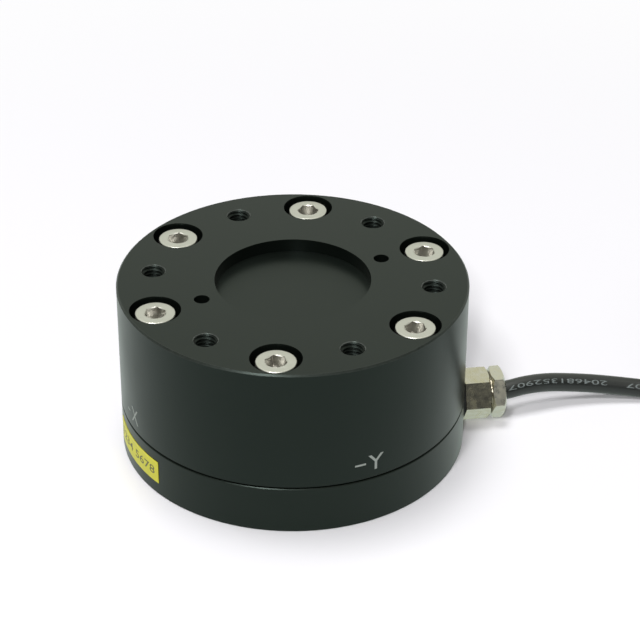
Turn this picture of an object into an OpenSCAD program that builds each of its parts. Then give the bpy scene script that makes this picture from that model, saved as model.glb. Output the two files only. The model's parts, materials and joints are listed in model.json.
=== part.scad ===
// Force torque sensor: a flat round body in two halves round a spoked elastic
// element, with a radial cable gland and its lead wound into a coil.
// Millimetres. The origin is on the axis at the underside of the base flange,
// +Z points to the tool side, +X to the first housing screw.

/* [Body] */
// Outer diameter of the base flange and the housing
body_d = 90; // [88:1:104]
// Height of the base flange
base_h = 13; // [13:0.5:16]
// Open joint between the base flange and the housing
joint_gap = 0.4; // [0.3:0.1:0.8]
// Height of the housing above the joint
housing_h = 33.1; // [32.5:0.1:38]
// Thickness of the housing's tool plate
plate_t = 14; // [13:0.5:15]
// Wall of the housing's skirt
skirt_t = 2; // [1.6:0.1:2.6]
// Edge break of the tool face
top_chamfer = 0.4; // [0.2:0.1:0.8]
// Edge break at the joint and the underside
edge_chamfer = 0.2; // [0.1:0.1:0.3]

/* [Interfaces] */
// Diameter of the pilot recess, both sides
pilot_d = 40; // [36:1:43]
// Depth of the pilot recess
pilot_depth = 3.5; // [2.5:0.5:4]
// Number of tapped holes in each face
tap_count = 6; // [4:2:6]
// Thread diameter of the tapped holes
tap_d = 6; // [5:1:6]
// Distance from the outer wall to the tapped holes' axes
tap_inset = 9; // [8:0.5:9.5]
// Depth of the tapped holes in the tool face
tap_depth = 11; // [8:0.5:11]
// Depth of the tapped holes in the underside
base_tap_depth = 9; // [7:0.5:10]
// Countersink of a tapped hole, beyond its thread
tap_chamfer = 0.2; // [0.1:0.1:0.5]
// Distance across the two dowel holes
dowel_pcd = 50; // [48:0.5:52]
// Diameter of the dowel holes
dowel_d = 4; // [3:0.5:4]
// Depth of the dowel holes
dowel_depth = 6; // [4:0.5:6]

/* [Housing screws] */
// Number of housing screws
screw_count = 6; // [4:2:6]
// Thread diameter of the housing screws
screw_d = 6; // [5:0.5:6]
// Length of a housing screw under its head
screw_l = 16; // [14:1:16]
// Distance from the outer wall to the screws' axes
screw_inset = 7.5; // [7.2:0.1:7.8]
// Diameter of the counterbores
counterbore_d = 13; // [12:0.5:13]
// How far the heads lie under the tool face
head_sink = 0.8; // [0.4:0.1:1.2]

/* [Elastic element] */
// Radial width of the rim
rim_w = 10; // [9:0.5:11]
// Height of the rim
rim_h = 10; // [9:0.5:11]
// Height of the spokes
spoke_h = 8; // [6:0.5:8]
// Width of the spokes
spoke_w = 9; // [7:0.5:10]
// Thickness of the thin walls that carry the spokes' outer ends
web_t = 1.2; // [0.8:0.1:1.6]
// Width of the slots behind the thin walls, at the spokes
slot_w = 2.8; // [2.2:0.1:3.4]
// Diameter of the hub
hub_d = 31; // [30:0.5:32.5]
// Height of the hub
hub_h = 11.5; // [10.5:0.5:12.5]
// Diameter of the hub's central hole
hub_bore_d = 9; // [6:0.5:10]

/* [Base flange] */
// Width of the solid ring round the wiring pocket
base_ring_w = 12.5; // [12:0.1:13]
// Floor under the wiring pocket
floor_t = 3.5; // [2.5:0.1:3.8]
// Floor left over the pilot recess
shelf_t = 2.5; // [2:0.1:3]
// Diameter of the pedestal that carries the hub
pedestal_d = 33; // [33:0.1:33.5]
// Circle of the hub screws
hub_pcd = 21; // [20.5:0.1:21.5]
// Number of hub screws
hub_screw_count = 6; // [4:1:6]
// Thread diameter of the hub screws
hub_screw_d = 5; // [4:0.5:5]
// Length of a hub screw under its head
hub_screw_l = 20; // [18:1:22]
// Diameter of the hub's two alignment pins
pin_d = 3; // [2:0.5:3]
// Length of the alignment pins
pin_l = 10; // [8:1:12]
// Width of the rib inside the housing's skirt
rib_w = 3; // [2.5:0.1:4]
// Height of the rib
rib_h = 3; // [2.6:0.1:4]
// Radial play between the rib and the skirt
rib_play = 0.5; // [0.3:0.1:0.6]
// Section diameter of the dust seal
seal_d = 1.4; // [1.2:0.1:1.6]

/* [Signal board] */
// Thickness of the board
board_t = 1.6; // [1:0.2:2]
// Gap between the board and the walls of its pocket
board_play = 1; // [0.6:0.1:1.2]
// Height of the standoffs under the board
standoff_h = 7; // [6.4:0.1:8]
// Width across flats of the standoffs
standoff_af = 5; // [4.5:0.5:5.5]
// Thread diameter of the board screws
board_screw_d = 2.5; // [2:0.5:3]
// Length of a board screw under its head
board_screw_l = 5; // [4:1:6]
// Height of the amplifier circuits
chip_h = 1.5; // [1:0.1:2]

/* [Strain gauges] */
// Length of a gauge along its spoke
gauge_l = 5; // [3:0.5:6]
// Width of a gauge
gauge_w = 3; // [2:0.5:4]
// Thickness of a gauge with its backing
gauge_t = 0.15; // [0.1:0.05:0.3]
// Width of the flat gauge leads
flex_w = 4; // [3:0.5:6]
// Thickness of the flat gauge leads
flex_t = 0.25; // [0.15:0.05:0.4]

/* [Cable gland] */
// Angle of the gland round the body
gland_angle = -16; // [-18:1:-13]
// Height of the gland's axis
gland_z = 6.8; // [6.4:0.1:6.9]
// Width across flats of the gland's two hexagons
gland_af = 12; // [11:0.5:12]
// Thread diameter of the gland in the base flange
gland_thread_d = 8; // [7:0.5:8]
// Length of the gland's thread inside the base flange
gland_thread_l = 9; // [7:0.5:11]
// Diameter of the spot face under the gland
spot_d = 11.8; // [11.2:0.1:11.8]
// Depth of the spot face below the outer wall, at the gland's axis
spot_depth = 0.6; // [0.5:0.1:1]
// Thickness of the sealing ring under the gland
gasket_t = 1.1; // [0.8:0.1:1.4]
// Length of the gland body's hexagon
gland_hex_l = 7; // [6:0.5:8]
// Groove between the gland body and its nut
gland_groove = 0.35; // [0.3:0.05:0.6]
// Diameter of the gland's clamping neck
neck_d = 10; // [9.6:0.1:10.2]
// Length of the neck inside the nut
neck_l = 2.4; // [2:0.1:2.5]
// Length of the gland nut
gland_nut_l = 3.75; // [3.5:0.05:4.2]
// Radial wall of the slotted clamping ring
claw_t = 0.9; // [0.7:0.1:1.1]

/* [Cable] */
// Outer diameter of the cable
cable_d = 5; // [4.8:0.1:5]
// Pitch of the coil's layers and turns
coil_pitch = 5; // [5:0.1:5.2]
// Layers of the coil
coil_layers = 4; // [3:1:4]
// Width of the coil tie
tie_w = 6; // [4:1:9]
// Thickness of the coil tie
tie_t = 0.6; // [0.4:0.1:0.6]

/* [Connector] */
// Diameter of the connector's body
plug_d = 14; // [13.5:0.1:14.4]
// Length of the connector's body
plug_body_l = 17; // [14:1:20]
// Diameter of the knurled grip
grip_d = 14.6; // [14.6:0.1:15]
// Length of the knurled grip
grip_l = 9; // [7:1:11]
// Thread diameter of the coupling screw
coupling_d = 12; // [11:0.5:12]
// Length of the coupling thread
coupling_l = 7; // [6:0.5:9]
// Width across flats of the connector's rear cap
cap_af = 12; // [11:0.5:12.5]
// Length of the rear cap
cap_l = 7; // [6:0.5:9]
// Length of the strain relief
relief_l = 18; // [14:1:20]
// Number of contacts
contact_count = 8; // [4:1:8]
// Diameter of a contact
contact_d = 0.8; // [0.6:0.1:0.9]

/* [Label] */
// Length of the label round the base flange
label_l = 24; // [20:1:44]
// Height of the label
label_h = 6.4; // [5:0.2:8]
// Height of the label's lower edge
label_z = 3.6; // [3:0.1:4.4]
// Thickness of the label
label_t = 0.12; // [0.08:0.02:0.2]
// Angle of the label's right-hand end
label_end = -163; // [-170:1:-150]

/* [Hidden] */
$fn = 72;
overcut = 1;               // how far a cutting solid reaches past a face
slip = 0.05;               // play of a threaded or slid-in piece in its hole

// Heights
joint_z = base_h + joint_gap;
total_h = joint_z + housing_h;
plate_z = total_h - plate_t;

// Radii
body_r = body_d / 2;
skirt_r = body_r - skirt_t;
screw_r = body_r - screw_inset;
tap_r = body_r - tap_inset;
dowel_r = dowel_pcd / 2;
pocket_r = body_r - base_ring_w;
pedestal_r = pedestal_d / 2;
shelf_r = pilot_d / 2 + 2;

// Socket head screws: knurled head as high as the thread, the key about 5/6 of it
function head_d(d) = 1.5 * d + 1.2;
function head_h(d) = d;
function key_af(d) = ceil(d * 0.8);
screw_seat_z = total_h - head_sink - head_h(screw_d);
socket_turns = [13, 37, 4, 59, 20, 20]; // angle at which each housing screw's socket stands when tight
clearance_d = screw_d + 0.6;

// Elastic element
relief_z = (rim_h - spoke_h) / 2;
rim_r = skirt_r - 2 * slip;
rim_in_r = rim_r - rim_w;
spoke_top_z = plate_z - relief_z;
spoke_z = spoke_top_z - spoke_h;
hub_z = spoke_top_z - hub_h;
hub_r = hub_d / 2;
web_out_r = rim_in_r - slot_w;
web_in_r = web_out_r - web_t;
spoke_count = 4;

// Base flange
shelf_z = pilot_depth + shelf_t;
hub_head_gap = 0.5;
hub_seat_z = pilot_depth + hub_head_gap + head_h(hub_screw_d);
hub_counterbore_d = head_d(hub_screw_d) + 0.8;
boss_wall = 2;
rib_r = skirt_r - rib_play;
seal_z = base_h + rib_h / 2;
seal_groove = seal_d + 2 * slip;

// Signal board
board_z = floor_t + standoff_h;
board_r = pocket_r - board_play;
board_in_r = pedestal_r + board_play;
standoff_count = 3;
standoff_r = (board_r + shelf_r) / 2;
standoff_angle = 42;
chip_count = 6;
chip_angle = 15;
chip_r = (board_r + board_in_r) / 2;
chip_w = 5;
chip_l = 4;
terminal = [4, 9, 5];
terminal_angle = gland_angle;
terminal_x = board_r - terminal.x - 0.5;

// Gauges
gauge_r = (hub_r + web_in_r) / 2;
flex_r = gauge_r + gauge_l / 2 + flex_t;

// Cable gland, measured along its axis from the sensor's axis
spot_x = body_r - spot_depth;
hex_x = spot_x + gasket_t;
hex_end = hex_x + gland_hex_l;
nut_x = hex_end + gland_groove;
neck_end = nut_x + neck_l;
cable_bore_d = cable_d + 0.4;
grommet_d = cable_d + 2;
seat_in = 2;               // how far the grommet's seat reaches into the hexagon
seat_x = hex_end - seat_in;
stub_x = 24;
hex_tilt = 4;              // how far the top flat of the gland's body leans to the -Y side

// Coil, and the points of the two stretches that aren't coiled
coil_c = [143, -16];
coil_out_r = 35.5;
coil_in_r = 17.1;
coil_z = tie_t;
coil_top = coil_z + coil_layers * coil_pitch;
coil_corner = 1.4;
tie_angle = 62;
tail_in = 12;              // how far the cable reaches into the strain relief
lead_route = [
  [55.31, -15.73, 6.94], [60.4, -16.15, 7.2], [64.4, -16.55, 7.1], [68.8, -17.05, 6.55],
  [73.4, -18.0, 5.85], [78.2, -19.3, 5.1], [83.4, -21.1, 4.3], [89.0, -23.4, 3.45],
  [94.6, -26.1, 2.75], [100.2, -29.1, 2.5], [105.4, -32.1, 2.5], [110.0, -34.84, 2.5]
];
tail_route = [
  [107.2, -29.2, 15.8], [111.5, -38.3, 13.4], [118.1, -45.6, 10.6], [126.6, -51.0, 7.6],
  [136.3, -54.0, 4.8], [146.4, -54.5, 3.1], [156.2, -52.3, 2.5], [165.3, -47.9, 2.5],
  [172.6, -42.2, 2.5], [178.7, -35.4, 2.6], [183.4, -27.6, 3.1], [186.2, -19.2, 4.8],
  [187.3, -10.8, 6.6], [187.5, -4.0, 7.3]
];
plug_start = [187.5, -4.0, 7.3];
plug_heading = 90;

// Connector, measured along its axis from the rear of its strain relief
relief_r1 = cable_d / 2 + 0.9;
relief_r2 = cap_af / 2 - 1.4;
relief_in = 3;             // how far the relief reaches into the rear cap
cap_x = relief_l - relief_in;
plug_x = cap_x + cap_l;
grip_x = plug_x + plug_body_l;
thread_x = grip_x + grip_l;
plug_end = thread_x + coupling_l;
insert_d = coupling_d - 2.4;
insert_x = grip_x + 1;
contact_l = 6;
contact_base_x = plug_end - contact_l - 2;
contact_circle = 5.5;

label_angle = label_l / body_r * 180 / PI;

// ---------------------------------------------------------------- helpers

// Places copies on a circle of radius r, the first at angle start
module on_circle(count, r, start = 0)
  for (i = [0:count - 1])
    rotate([0, 0, start + i * 360 / count]) translate([r, 0, 0]) children();

// Hexagonal prism of width af across its flats, from z = 0 upwards
module hexagon(af, h) cylinder(d = af / cos(30), h = h, $fn = 6);

// Ring from z = 0 upwards
module tube(r_out, r_in, h)
  difference() {
    cylinder(r = r_out, h = h);
    translate([0, 0, -overcut]) cylinder(r = r_in, h = h + 2 * overcut);
  }

// Socket head cap screw, seated at z = 0 with its shank downwards, its socket turned by an angle
module cap_screw(d, l, turn = 0) {
  top = head_h(d);
  r = head_d(d) / 2;
  round_r = d * 0.05;
  tip = d * 0.06;
  key = key_af(d);
  key_l = d * 0.58;
  key_corner_d = key / cos(30);
  mouth = (key_corner_d - key) / 2 * tan(30);
  difference() {
    union() {
      rotate_extrude()
        polygon([
          [0, 0], [r, 0],
          for (a = [0:30:90]) [r - round_r + round_r * cos(a), top - round_r + round_r * sin(a)],
          [0, top]
        ]);
      translate([0, 0, tip - l]) cylinder(d = d, h = l);
      translate([0, 0, -l]) cylinder(d1 = d - 2 * tip, d2 = d, h = tip);
    }
    rotate([0, 0, turn]) translate([0, 0, top - key_l]) hexagon(key, key_l + overcut);
    translate([0, 0, top - key_l - key / 4]) cylinder(d1 = 0.4, d2 = key - 0.1, h = key / 4 + slip);
    translate([0, 0, top - mouth]) cylinder(d1 = key, d2 = key_corner_d, h = mouth + slip);
  }
}

// Cutter for a blind tapped hole that opens at z = 0 and runs downwards
module tapped_hole(d, depth) {
  translate([0, 0, -depth]) cylinder(d = d, h = depth + overcut);
  translate([0, 0, -depth - d / 5]) cylinder(d1 = 0.4, d2 = d, h = d / 5);
  translate([0, 0, -tap_chamfer])
    cylinder(d1 = d, d2 = d + 2 * tap_chamfer + 2 * overcut, h = tap_chamfer + overcut);
}

// Puts a piece drawn along +Z onto the gland's axis, starting at distance x
module along_gland(x = 0)
  rotate([0, 0, gland_angle]) translate([x, 0, gland_z]) rotate([0, 90, 0]) children();

// Puts a piece drawn along +Z onto the connector's axis, starting at distance x
module along_plug(x = 0)
  translate(plug_start) rotate([0, 0, plug_heading]) translate([x, 0, 0])
    rotate([0, 90, 0]) children();

// Hexagonal nut blank from z = 0, turned by an angle, its far end turned down by a cone of 30 degrees
module chamfered_hex(af, h, turn = 0, both = false) {
  corner_r = af / cos(30) / 2;
  flat_r = af / 2 - 0.2;
  drop = (corner_r - flat_r) * tan(30);
  intersection() {
    rotate([0, 0, 90 + turn]) hexagon(af, h);
    rotate_extrude()
      polygon([
        [0, 0], [both ? flat_r : corner_r, 0], [corner_r, both ? drop : 0],
        [corner_r, h - drop], [flat_r, h], [0, h]
      ]);
  }
}

// One ring of a cable's skin, square to the route at its point i
function ring_at(path, i, r, sides) =
  let (
    last = len(path) - 1,
    ahead = path[min(i + 1, last)] - path[max(i - 1, 0)],
    t = ahead / norm(ahead),
    across = cross([0, 0, 1], t),
    s = across / norm(across),
    u = cross(t, s)
  )
  [for (k = [0:sides - 1]) path[i] + r * (s * cos(k * 360 / sides) + u * sin(k * 360 / sides))];

// Cable of radius r swept along the points of path
module cable(path, r, sides = 10) {
  rings = len(path);
  points = [for (i = [0:rings - 1]) each ring_at(path, i, r, sides)];
  skin = [
    for (i = [0:rings - 2], k = [0:sides - 1])
      let (a = i * sides + k, b = i * sides + (k + 1) % sides)
      [a, a + sides, b + sides, b]
  ];
  near_end = [for (k = [0:sides - 1]) k];
  far_end = [for (k = [0:sides - 1]) rings * sides - 1 - k];
  polyhedron(points, concat(skin, [near_end, far_end]));
}

// ------------------------------------------------------------------- body

// Tool-side half: a thick plate with a thin skirt round the elastic element
module housing()
  color("#33383a") difference() {
    rotate_extrude()
      polygon([
        [0, plate_z], [skirt_r, plate_z], [skirt_r, joint_z],
        [body_r - edge_chamfer, joint_z], [body_r, joint_z + edge_chamfer],
        [body_r, total_h - top_chamfer], [body_r - top_chamfer, total_h], [0, total_h]
      ]);
    translate([0, 0, total_h - pilot_depth]) cylinder(d = pilot_d, h = pilot_depth + overcut);
    on_circle(screw_count, screw_r) {
      translate([0, 0, screw_seat_z]) cylinder(d = counterbore_d, h = head_h(screw_d) + 2 * overcut);
      translate([0, 0, plate_z - overcut]) cylinder(d = clearance_d, h = plate_t);
    }
    on_circle(tap_count, tap_r, 180 / tap_count)
      translate([0, 0, total_h]) tapped_hole(tap_d, tap_depth);
    on_circle(2, dowel_r)
      translate([0, 0, total_h - dowel_depth]) cylinder(d = dowel_d, h = dowel_depth + overcut);
  }

// Robot-side half: a flange with a wiring pocket round the pedestal of the hub
module base_flange()
  color("#2d3234") difference() {
    union() {
      rotate_extrude()
        polygon([
          [0, 0], [body_r - edge_chamfer, 0], [body_r, edge_chamfer],
          [body_r, base_h - edge_chamfer], [body_r - edge_chamfer, base_h],
          [pocket_r, base_h], [pocket_r, floor_t], [shelf_r, floor_t],
          [shelf_r, shelf_z], [pedestal_r, shelf_z], [pedestal_r, hub_z], [0, hub_z]
        ]);
      rotate_extrude()
        polygon([
          [rib_r - rib_w, base_h - edge_chamfer], [rib_r, base_h - edge_chamfer],
          [rib_r, seal_z - seal_groove / 2], [skirt_r - seal_groove, seal_z - seal_groove / 2],
          [skirt_r - seal_groove, seal_z + seal_groove / 2], [rib_r, seal_z + seal_groove / 2],
          [rib_r, base_h + rib_h], [rib_r - rib_w, base_h + rib_h]
        ]);
      on_circle(2, dowel_r)
        cylinder(d = dowel_d + 2 * boss_wall, h = dowel_depth + boss_wall);
    }
    translate([0, 0, -overcut]) cylinder(d = pilot_d, h = pilot_depth + overcut);
    on_circle(tap_count, tap_r, 180 / tap_count)
      mirror([0, 0, 1]) tapped_hole(tap_d, base_tap_depth);
    on_circle(2, dowel_r) translate([0, 0, -overcut]) cylinder(d = dowel_d, h = dowel_depth + overcut);
    on_circle(hub_screw_count, hub_pcd / 2) {
      translate([0, 0, -overcut]) cylinder(d = hub_counterbore_d, h = hub_seat_z + overcut);
      cylinder(d = hub_screw_d + 2 * slip, h = hub_z + overcut);
    }
    on_circle(2, hub_pcd / 2, 180 / hub_screw_count)
      translate([0, 0, hub_z - pin_l / 2]) cylinder(d = pin_d, h = pin_l);
    along_gland(pocket_r - overcut) cylinder(d = gland_thread_d + 2 * slip, h = base_ring_w + 2 * overcut);
    along_gland(spot_x) cylinder(d = spot_d, h = spot_depth + overcut);
  }

// Plan of the elastic element at spoke level: hub, spokes and their thin walls
module spoke_plan() {
  web_half = sqrt(pow(rim_in_r, 2) - pow(web_in_r, 2)) + 1;
  for (i = [0:spoke_count - 1])
    rotate(i * 360 / spoke_count) {
      translate([0, -spoke_w / 2]) square([web_in_r + web_t / 2, spoke_w]);
      translate([web_in_r, -web_half]) square([web_t, 2 * web_half]);
    }
}

// Rim, four spokes on thin walls and a hub, milled from one blank
module elastic_element()
  color("#b9bdc0") difference() {
    union() {
      translate([0, 0, plate_z - rim_h]) tube(rim_r, rim_in_r, rim_h);
      translate([0, 0, spoke_z])
        intersection() {
          linear_extrude(spoke_h) spoke_plan();
          cylinder(r = rim_in_r + rim_w / 2, h = spoke_h);
        }
      translate([0, 0, hub_z]) cylinder(r = hub_r, h = hub_h);
    }
    on_circle(screw_count, screw_r)
      translate([0, 0, plate_z - rim_h - overcut])
        cylinder(d = screw_d + 2 * slip, h = rim_h + 2 * overcut);
    on_circle(hub_screw_count, hub_pcd / 2)
      translate([0, 0, hub_z - overcut]) cylinder(d = hub_screw_d + 2 * slip, h = hub_h + 2 * overcut);
    on_circle(2, hub_pcd / 2, 180 / hub_screw_count)
      translate([0, 0, hub_z - overcut]) cylinder(d = pin_d, h = pin_l / 2 + overcut);
    translate([0, 0, hub_z - overcut]) cylinder(d = hub_bore_d, h = hub_h + 2 * overcut);
  }

// Foil gauges on the four faces of each spoke
module strain_gauges()
  color("#c58a4a") on_circle(spoke_count, gauge_r - gauge_l / 2) {
    for (z = [spoke_z - gauge_t, spoke_top_z])
      translate([0, -gauge_w / 2, z]) cube([gauge_l, gauge_w, gauge_t]);
    for (y = [-spoke_w / 2 - gauge_t, spoke_w / 2])
      translate([0, y, spoke_z + (spoke_h - gauge_w) / 2]) cube([gauge_l, gauge_t, gauge_w]);
  }

// Flat leads that hang from the spokes to the signal board
module gauge_leads()
  color("#c8762c") on_circle(spoke_count, flex_r)
    translate([0, -flex_w / 2, board_z + board_t]) cube([flex_t, flex_w, spoke_z - board_z - board_t]);

// Soft ring in the rib's groove, against the inside of the skirt
module dust_seal()
  color("#1c1c1c") rotate_extrude()
    translate([skirt_r - seal_d / 2 - slip, seal_z]) circle(d = seal_d, $fn = 32);

module housing_screws()
  color("#c9c9c4") for (i = [0 : screw_count - 1])
    rotate([0, 0, i * 360 / screw_count]) translate([screw_r, 0, screw_seat_z])
      cap_screw(screw_d, screw_l, socket_turns[i]);

module hub_screws()
  color("#8d9196") on_circle(hub_screw_count, hub_pcd / 2)
    translate([0, 0, hub_seat_z]) mirror([0, 0, 1]) cap_screw(hub_screw_d, hub_screw_l);

module hub_pins()
  color("#9a9da0") on_circle(2, hub_pcd / 2, 180 / hub_screw_count)
    translate([0, 0, hub_z - pin_l / 2]) cylinder(d = pin_d, h = pin_l);

// Strip stuck round the side of the base flange
module label()
  color("#d6cf45") rotate([0, 0, label_end - label_angle])
    rotate_extrude(angle = label_angle, $fn = 360)
      translate([body_r, label_z]) square([label_t, label_h]);

// ----------------------------------------------------------- signal board

module at_standoffs() on_circle(standoff_count, standoff_r, standoff_angle) children();

module signal_board()
  color("#1f6b43") translate([0, 0, board_z]) difference() {
    tube(board_r, board_in_r, board_t);
    at_standoffs() translate([0, 0, -overcut])
      cylinder(d = board_screw_d + 2 * slip, h = board_t + 2 * overcut);
  }

module board_chips()
  color("#222426") translate([0, 0, board_z + board_t])
    on_circle(chip_count, chip_r, chip_angle)
      translate([-chip_w / 2, -chip_l / 2, 0]) cube([chip_w, chip_l, chip_h]);

module board_terminal()
  color("#e9e6da") rotate([0, 0, terminal_angle])
    translate([terminal_x, -terminal.y / 2, board_z + board_t]) cube(terminal);

module board_standoffs()
  color("#b8a45c") at_standoffs() translate([0, 0, floor_t]) difference() {
    hexagon(standoff_af, standoff_h);
    translate([0, 0, standoff_h - board_screw_l])
      cylinder(d = board_screw_d + 2 * slip, h = board_screw_l + overcut);
  }

module board_screws()
  color("#c9c9c4") at_standoffs() translate([0, 0, board_z + board_t]) {
    head = board_screw_d * 0.64;
    difference() {
      cylinder(d = board_screw_d * 2, h = head);
      translate([0, 0, head / 2]) hexagon(board_screw_d * 0.6, head);
    }
    translate([0, 0, -board_screw_l]) cylinder(d = board_screw_d, h = board_screw_l);
  }

// ------------------------------------------------------------ cable gland

module gland_gasket()
  color("#171717") along_gland(spot_x) tube(spot_d / 2 - 2 * slip, gland_thread_d / 2 + slip, gasket_t);

// Threaded spigot, hexagon and clamping neck, turned from one bar
module gland_body()
  color("#c4bfae") difference() {
    union() {
      along_gland(spot_x - gland_thread_l) cylinder(d = gland_thread_d, h = gland_thread_l + gasket_t);
      along_gland(hex_x) chamfered_hex(gland_af, gland_hex_l, hex_tilt);
      along_gland(hex_end) cylinder(d = neck_d - 2 * slip, h = neck_end - hex_end);
    }
    along_gland(spot_x - gland_thread_l - overcut)
      cylinder(d = cable_bore_d, h = gland_thread_l + gasket_t + gland_hex_l + 2 * overcut);
    along_gland(seat_x) cylinder(d = grommet_d + 2 * claw_t, h = neck_end - seat_x + overcut);
  }

// Slotted ring that the nut presses onto the grommet
module gland_claw()
  color("#e4e1d6") along_gland(seat_x) difference() {
    tube(grommet_d / 2 + claw_t - slip, grommet_d / 2, neck_end - seat_x);
    on_circle(6, 0) translate([0, -0.3, 1.5]) cube([grommet_d, 0.6, neck_end - seat_x]);
  }

module gland_grommet()
  color("#202020") along_gland(seat_x) tube(grommet_d / 2, cable_d / 2, neck_end - seat_x);

// Nut with a domed outer end, its bore flared where the cable bends out of it
module gland_nut() {
  r = gland_af / 2;
  dome = gland_nut_l - 0.8;
  color("#c9c4b3") along_gland(nut_x) difference() {
    intersection() {
      chamfered_hex(gland_af, gland_nut_l + 1, both = true);
      rotate_extrude()
        polygon([
          [0, 0], [gland_af, 0], [gland_af, dome], [r + 0.8, dome], [r + 0.4, dome + 0.25],
          [r - 0.3, dome + 0.58], [r - 0.9, gland_nut_l], [0, gland_nut_l]
        ]);
    }
    translate([0, 0, -overcut]) cylinder(d = neck_d, h = neck_l + overcut);
    cylinder(d = cable_bore_d, h = gland_nut_l + overcut);
    translate([0, 0, neck_l])
      cylinder(d1 = cable_bore_d, d2 = cable_bore_d + 1.6, h = gland_nut_l - neck_l + slip);
  }
}

// ------------------------------------------------------------------ cable

// Jacketed cable from the wiring pocket to the end of the gland's clamping neck
module cable_stub()
  color("#2a2d30") along_gland(stub_x) cylinder(d = cable_d, h = neck_end - stub_x);

function gland_point(x) = [x * cos(gland_angle), x * sin(gland_angle), gland_z];

module cable_lead()
  color("#2a2d30")
    cable(concat([gland_point(neck_end), gland_point(neck_end + 1)], lead_route), cable_d / 2);

module cable_tail()
  color("#2a2d30") cable(concat(tail_route, [plug_start + [0, tail_in, 0]]), cable_d / 2);

// Section of the wound coil in the half plane, grown by g on every side
module coil_section(g = 0) {
  c = coil_corner;
  x0 = coil_in_r - g;
  x1 = coil_out_r + g;
  z0 = coil_z - g;
  z1 = coil_top + g;
  polygon([
    [x0 + c, z0], [x1 - c, z0], [x1, z0 + c], [x1, z1 - c],
    [x1 - c, z1], [x0 + c, z1], [x0, z1 - c], [x0, z0 + c]
  ]);
}

module cable_coil()
  color("#2a2d30") translate(coil_c) rotate_extrude() coil_section();

module coil_tie() {
  sweep = tie_w / (coil_out_r + coil_in_r) * 2 * 180 / PI;
  color("#3a3a3a") translate(coil_c) rotate([0, 0, tie_angle - sweep / 2])
    rotate_extrude(angle = sweep) difference() {
      coil_section(tie_t);
      coil_section();
    }
}

// -------------------------------------------------------------- connector

// Rubber strain relief with rings round its taper
module connector_relief() {
  rings = 4;
  step = (cap_x - 2) / rings;
  color("#1f2123") along_plug() difference() {
    union() {
      cylinder(r1 = relief_r1, r2 = relief_r2, h = relief_l);
      for (i = [0:rings - 1])
        translate([0, 0, 1 + i * step]) cylinder(r = relief_r1 + 0.5 + i * 0.25, h = step / 2);
    }
    translate([0, 0, -overcut]) cylinder(r = cable_d / 2 + slip, h = tail_in + overcut);
  }
}

module connector_cap()
  color("#b9b9b2") along_plug(cap_x) difference() {
    chamfered_hex(cap_af, cap_l, both = true);
    translate([0, 0, -overcut]) cylinder(r = relief_r2 + slip, h = relief_l - cap_x + overcut);
  }

// Barrel with three shallow finger flats
module connector_body() {
  flat_count = 3;
  flat_w = 4;
  flat_x = 3;
  front_l = 3;
  front_in = 1;
  color("#b2b2ab") along_plug(plug_x) difference() {
    rotate_extrude()
      polygon([
        [0, 0], [plug_d / 2 - 0.8, 0], [plug_d / 2, 0.8], [plug_d / 2, plug_body_l - front_l],
        [plug_d / 2 - front_in, plug_body_l - front_l * 0.8],
        [plug_d / 2 - front_in, plug_body_l], [0, plug_body_l]
      ]);
    on_circle(flat_count, plug_d / 2, 90 / flat_count)
      translate([-0.4, -flat_w / 2, flat_x]) cube([2, flat_w, plug_body_l - 3 * flat_x]);
  }
}

// Knurled coupling ring with its threaded front
module connector_grip() {
  flutes = 24;
  color("#bdbdb6") along_plug(grip_x) difference() {
    union() {
      difference() {
        cylinder(d = grip_d, h = grip_l);
        on_circle(flutes, grip_d / 2 + 0.25)
          translate([0, 0, -overcut]) cylinder(d = 1.2, h = grip_l + 2 * overcut, $fn = 16);
      }
      cylinder(d = coupling_d, h = grip_l + coupling_l);
    }
    translate([0, 0, insert_x - grip_x])
      cylinder(d = insert_d + 2 * slip, h = grip_l + coupling_l);
  }
}

// Insulating insert with a keyway, hollow in front round its contacts
module connector_insert()
  color("#26282b") along_plug(insert_x) difference() {
    cylinder(d = insert_d, h = plug_end - insert_x);
    translate([0, 0, contact_base_x - insert_x])
      cylinder(d = insert_d - 1.2, h = plug_end - contact_base_x + overcut);
  }

module connector_contacts()
  color("#d2ab55") along_plug(contact_base_x) {
    on_circle(contact_count - 1, contact_circle / 2) {
      cylinder(d = contact_d, h = contact_l);
      translate([0, 0, contact_l]) cylinder(d1 = contact_d, d2 = contact_d / 2, h = 0.5);
    }
    cylinder(d = contact_d, h = contact_l);
  }

housing();
base_flange();
elastic_element();
strain_gauges();
gauge_leads();
signal_board();
board_chips();
board_terminal();
board_standoffs();
board_screws();
housing_screws();
hub_screws();
hub_pins();
dust_seal();
label();
gland_gasket();
gland_body();
gland_claw();
gland_grommet();
gland_nut();
cable_stub();
cable_lead();
cable_coil();
cable_tail();
coil_tie();
connector_relief();
connector_cap();
connector_body();
connector_grip();
connector_insert();
connector_contacts();
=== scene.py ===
"""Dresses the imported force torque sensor: its finishes, threads, marks, cable and studio.

Every length is in metres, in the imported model's own frame: the origin is on the body's axis at the
underside, +Z points to the tool face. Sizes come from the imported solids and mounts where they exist.
"""

from __future__ import annotations

import json
import logging
import math
from dataclasses import dataclass
from enum import Enum
from functools import partial
from typing import Callable

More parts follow.
